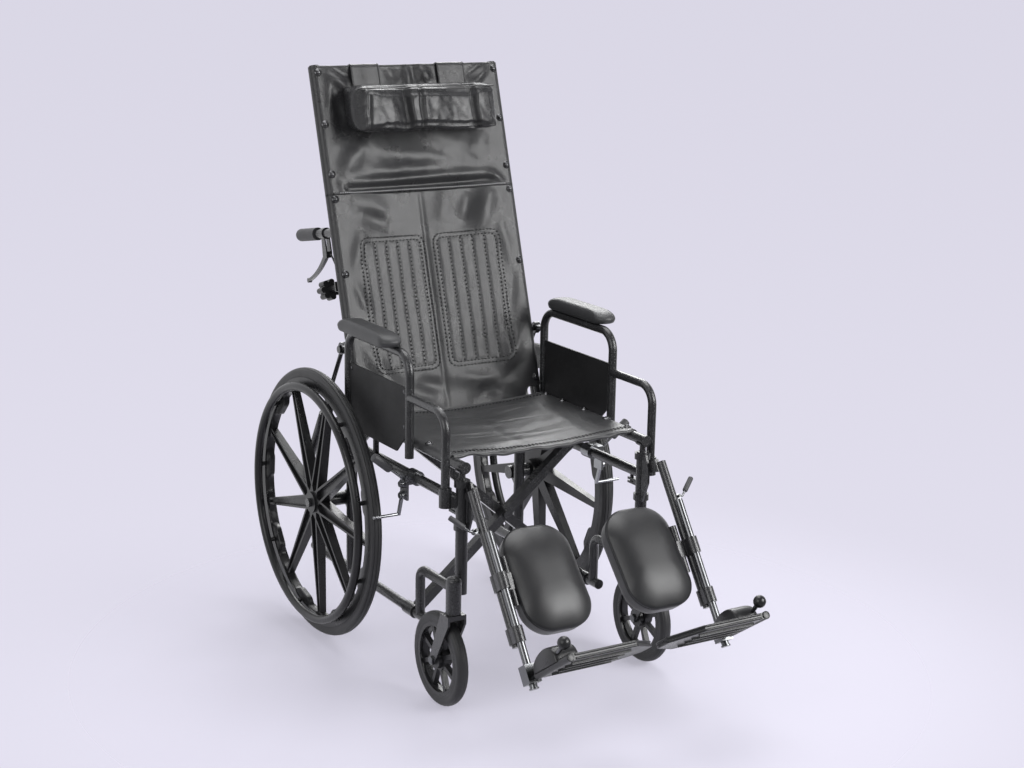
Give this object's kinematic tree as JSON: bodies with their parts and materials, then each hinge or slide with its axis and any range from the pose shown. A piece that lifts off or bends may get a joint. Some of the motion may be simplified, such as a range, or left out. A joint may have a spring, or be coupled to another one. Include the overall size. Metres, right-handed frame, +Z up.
{
  "type": "reclining wheelchair",
  "caption": "Folding reclining wheelchair with a tall leaning back, padded head pillow, lift-off armrests, spoked rear wheels with push rims and elevating leg rests.",
  "frame": {"origin": "on the floor, in the middle of the chair's box, between its two sides", "axes": "+Z up, -Y the way the chair faces, +X the occupant's left"},
  "size_m": [0.665, 1.2679, 1.2718],
  "materials": {
    "frame_paint": "charcoal hammered powder coat",
    "chrome": "polished",
    "vinyl": "black semi-gloss upholstery vinyl with a fine grain",
    "plastic": "black moulded plastic",
    "rubber": "black soft grip",
    "tyre": "black solid tyre",
    "pad_skin": "black moulded pad skin with a fine grain",
    "steel": "bright plated steel"
  },
  "bodies": {
    "cross_front": {"cross_bar_front": "frame_paint", "seat_sling": "vinyl"},
    "cross_rear": {"cross_bar_rear": "frame_paint"},
    "spreader": {"spreader_bar": "frame_paint"},
    "knob": {"star_knob": "plastic"},
    "frame_left": {"side_frame_left": "frame_paint", "lock_clamp_left": "chrome"},
    "wheel_left": {"rear_wheel_left": "plastic", "rear_tyre_left": "tyre", "handrim_left": "plastic"},
    "fork_left": {"caster_fork_left": "frame_paint"},
    "caster_left": {"caster_wheel_left": "plastic", "caster_tyre_left": "tyre"},
    "arm_left": {"arm_frame_left": "frame_paint", "arm_pad_left": "pad_skin", "skirt_guard_left": "plastic"},
    "cane_left": {"back_cane_left": "frame_paint", "hand_grip_left": "rubber", "recline_cable_left": "plastic"},
    "release_left": {"recline_lever_left": "plastic"},
    "cylinder_left": {"gas_cylinder_left": "frame_paint"},
    "rod_left": {"gas_rod_left": "chrome"},
    "brake_lever_left": {"lock_lever_left": "chrome"},
    "brake_shoe_left": {"lock_shoe_left": "chrome"},
    "hanger_left": {"leg_hanger_left": "frame_paint"},
    "leg_left": {"leg_tube_left": "frame_paint"},
    "height_lever_left": {"elevation_lever_left": "steel"},
    "slide_left": {"leg_slide_left": "chrome"},
    "foot_left": {"footplate_left": "plastic"},
    "calf_left": {"calf_bracket_left": "steel", "calf_pad_left": "pad_skin"},
    "frame_right": {"side_frame_right": "frame_paint", "lock_clamp_right": "chrome"},
    "wheel_right": {"rear_wheel_right": "plastic", "rear_tyre_right": "tyre", "handrim_right": "plastic"},
    "fork_right": {"caster_fork_right": "frame_paint"},
    "caster_right": {"caster_wheel_right": "plastic", "caster_tyre_right": "tyre"},
    "arm_right": {"arm_frame_right": "frame_paint", "arm_pad_right": "pad_skin", "skirt_guard_right": "plastic"},
    "cane_right": {"back_cane_right": "frame_paint", "hand_grip_right": "rubber", "recline_cable_right": "plastic", "back_sling": "vinyl", "headrest_sling": "vinyl", "head_pillow": "vinyl"},
    "release_right": {"recline_lever_right": "plastic"},
    "cylinder_right": {"gas_cylinder_right": "frame_paint"},
    "rod_right": {"gas_rod_right": "chrome"},
    "brake_lever_right": {"lock_lever_right": "chrome"},
    "brake_shoe_right": {"lock_shoe_right": "chrome"},
    "hanger_right": {"leg_hanger_right": "frame_paint"},
    "leg_right": {"leg_tube_right": "frame_paint"},
    "height_lever_right": {"elevation_lever_right": "steel"},
    "slide_right": {"leg_slide_right": "chrome"},
    "foot_right": {"footplate_right": "plastic"},
    "calf_right": {"calf_bracket_right": "steel", "calf_pad_right": "pad_skin"}
  },
  "joints": [
    {"name": "fold", "type": "hinge", "parent": "frame_right", "child": "cross_front", "pos_m": [-0.222, 0.00895, 0.14], "axis": [0, -1, 0], "range_deg": [0, 38.5], "deforming": ["seat_sling", "back_sling", "headrest_sling", "head_pillow"]},
    {"name": "cross_turn", "type": "hinge", "parent": "cross_front", "child": "cross_rear", "pos_m": [0, 0.00895, 0.3275], "axis": [0, -1, 0], "range_deg": [-77, 0]},
    {"name": "left_frame_turn", "type": "hinge", "parent": "cross_rear", "child": "frame_left", "pos_m": [0.222, 0.00895, 0.14], "axis": [0, -1, 0], "range_deg": [0, 38.5]},
    {"name": "wheel_turn_right", "type": "hinge", "parent": "frame_right", "child": "wheel_right", "pos_m": [-0.295, 0.32895, 0.305], "axis": [-1, 0, 0], "continuous": true},
    {"name": "caster_swivel_right", "type": "hinge", "parent": "frame_right", "child": "fork_right", "pos_m": [-0.253, -0.22805, 0], "axis": [0, 0, 1], "continuous": true},
    {"name": "caster_turn_right", "type": "hinge", "parent": "fork_right", "child": "caster_right", "pos_m": [-0.253, -0.17805, 0.1], "axis": [-1, 0, 0], "continuous": true},
    {"name": "arm_lift_right", "type": "slide", "parent": "frame_right", "child": "arm_right", "axis": [0, 0, 1], "range_m": [0, 0.1]},
    {"name": "recline_right", "type": "hinge", "parent": "frame_right", "child": "cane_right", "pos_m": [-0.227, 0.23395, 0.495], "axis": [-1, 0, 0], "range_deg": [0, 65]},
    {"name": "release_squeeze_right", "type": "hinge", "parent": "cane_right", "child": "release_right", "pos_m": [-0.227, 0.41252, 0.8518], "axis": [1, 0, 0], "range_deg": [0, 18], "stiffness_Nm_per_rad": 0.5, "springref_deg": -11.46},
    {"name": "cylinder_tilt_right", "type": "hinge", "parent": "frame_right", "child": "cylinder_right", "pos_m": [-0.251, 0.40513, 0.45861], "axis": [-1, 0, 0], "range_deg": [0, 32.5]},
    {"name": "rod_slide_right", "type": "slide", "parent": "cylinder_right", "child": "rod_right", "axis": [0, 0.5045, -0.8634], "range_m": [0, 0.17648]},
    {"name": "brake_pull_right", "type": "hinge", "parent": "frame_right", "child": "brake_lever_right", "pos_m": [-0.2493, -0.00105, 0.429], "axis": [1, 0, 0], "range_deg": [0, 60]},
    {"name": "brake_press_right", "type": "hinge", "parent": "frame_right", "child": "brake_shoe_right", "pos_m": [-0.2493, -0.00105, 0.404], "axis": [1, 0, 0], "range_deg": [0, 12]},
    {"name": "leg_swing_right", "type": "hinge", "parent": "frame_right", "child": "hanger_right", "pos_m": [-0.222, -0.20305, 0.382], "axis": [0, 0, -1], "range_deg": [0, 80]},
    {"name": "leg_raise_right", "type": "hinge", "parent": "hanger_right", "child": "leg_right", "pos_m": [-0.212, -0.22845, 0.45932], "axis": [-1, 0, 0], "range_deg": [0, 55]},
    {"name": "height_release_right", "type": "hinge", "parent": "leg_right", "child": "height_lever_right", "pos_m": [-0.247, -0.30408, 0.41309], "axis": [0, 0.8231, -0.5678], "range_deg": [0, 20], "stiffness_Nm_per_rad": 0.3, "springref_deg": -11.46},
    {"name": "leg_length_right", "type": "slide", "parent": "leg_right", "child": "slide_right", "axis": [0, -0.5678, -0.8231], "range_m": [0, 0.1]},
    {"name": "foot_flip_right", "type": "hinge", "parent": "slide_right", "child": "foot_right", "pos_m": [-0.231, -0.48783, 0.16082], "axis": [0, -0.8231, 0.5678], "range_deg": [0, 90]},
    {"name": "calf_swing_right", "type": "hinge", "parent": "leg_right", "child": "calf_right", "pos_m": [-0.207, -0.3972, 0.2781], "axis": [0, 0.5678, 0.8231], "range_deg": [0, 40]},
    {"name": "wheel_turn_left", "type": "hinge", "parent": "frame_left", "child": "wheel_left", "pos_m": [0.295, 0.32895, 0.305], "axis": [-1, 0, 0], "continuous": true},
    {"name": "caster_swivel_left", "type": "hinge", "parent": "frame_left", "child": "fork_left", "pos_m": [0.253, -0.22805, 0], "axis": [0, 0, 1], "continuous": true},
    {"name": "caster_turn_left", "type": "hinge", "parent": "fork_left", "child": "caster_left", "pos_m": [0.253, -0.17805, 0.1], "axis": [-1, 0, 0], "continuous": true},
    {"name": "arm_lift_left", "type": "slide", "parent": "frame_left", "child": "arm_left", "axis": [0, 0, 1], "range_m": [0, 0.1]},
    {"name": "recline_left", "type": "hinge", "parent": "frame_left", "child": "cane_left", "pos_m": [0.227, 0.23395, 0.495], "axis": [-1, 0, 0], "range_deg": [0, 65]},
    {"name": "release_squeeze_left", "type": "hinge", "parent": "cane_left", "child": "release_left", "pos_m": [0.227, 0.41252, 0.8518], "axis": [1, 0, 0], "range_deg": [0, 18], "stiffness_Nm_per_rad": 0.5, "springref_deg": -11.46},
    {"name": "cylinder_tilt_left", "type": "hinge", "parent": "frame_left", "child": "cylinder_left", "pos_m": [0.251, 0.40513, 0.45861], "axis": [-1, 0, 0], "range_deg": [0, 32.5]},
    {"name": "rod_slide_left", "type": "slide", "parent": "cylinder_left", "child": "rod_left", "axis": [0, 0.5045, -0.8634], "range_m": [0, 0.17648]},
    {"name": "brake_pull_left", "type": "hinge", "parent": "frame_left", "child": "brake_lever_left", "pos_m": [0.2493, -0.00105, 0.429], "axis": [1, 0, 0], "range_deg": [0, 60]},
    {"name": "brake_press_left", "type": "hinge", "parent": "frame_left", "child": "brake_shoe_left", "pos_m": [0.2493, -0.00105, 0.404], "axis": [1, 0, 0], "range_deg": [0, 12]},
    {"name": "leg_swing_left", "type": "hinge", "parent": "frame_left", "child": "hanger_left", "pos_m": [0.222, -0.20305, 0.382], "axis": [0, 0, 1], "range_deg": [0, 80]},
    {"name": "leg_raise_left", "type": "hinge", "parent": "hanger_left", "child": "leg_left", "pos_m": [0.212, -0.22845, 0.45932], "axis": [-1, 0, 0], "range_deg": [0, 55]},
    {"name": "height_release_left", "type": "hinge", "parent": "leg_left", "child": "height_lever_left", "pos_m": [0.247, -0.30408, 0.41309], "axis": [0, -0.8231, 0.5678], "range_deg": [0, 20], "stiffness_Nm_per_rad": 0.3, "springref_deg": -11.46},
    {"name": "leg_length_left", "type": "slide", "parent": "leg_left", "child": "slide_left", "axis": [0, -0.5678, -0.8231], "range_m": [0, 0.1]},
    {"name": "foot_flip_left", "type": "hinge", "parent": "slide_left", "child": "foot_left", "pos_m": [0.231, -0.48783, 0.16082], "axis": [0, 0.8231, -0.5678], "range_deg": [0, 90]},
    {"name": "calf_swing_left", "type": "hinge", "parent": "leg_left", "child": "calf_left", "pos_m": [0.207, -0.3972, 0.2781], "axis": [0, -0.5678, -0.8231], "range_deg": [0, 40]},
    {"name": "spreader_swing", "type": "hinge", "parent": "cane_left", "child": "spreader", "pos_m": [0.227, 0.34658, 0.79086], "axis": [0, -0.299, -0.9542], "range_deg": [0, 90]},
    {"name": "knob_turn", "type": "hinge", "parent": "spreader", "child": "knob", "pos_m": [-0.227, 0.34658, 0.79086], "axis": [0, 0.9542, -0.299], "continuous": true}
  ],
  "couplings": [
    {"joint": "cross_turn", "follows": "fold", "ratio": -2},
    {"joint": "left_frame_turn", "follows": "fold", "ratio": 1},
    {"joint": "cylinder_tilt_right", "follows": "recline_right", "ratio": 0.5},
    {"joint": "rod_slide_right", "follows": "recline_right", "m_per_rad": 0.15512},
    {"joint": "brake_press_right", "follows": "brake_pull_right", "ratio": 0.2},
    {"joint": "leg_swing_right", "follows": "fold", "ratio": 2.0779},
    {"joint": "cylinder_tilt_left", "follows": "recline_right", "ratio": 0.5},
    {"joint": "rod_slide_left", "follows": "recline_right", "m_per_rad": 0.15512},
    {"joint": "recline_left", "follows": "recline_right", "ratio": 1},
    {"joint": "brake_press_left", "follows": "brake_pull_left", "ratio": 0.2},
    {"joint": "leg_swing_left", "follows": "fold", "ratio": 2.0779},
    {"joint": "spreader_swing", "follows": "fold", "ratio": 2.3377}
  ]
}
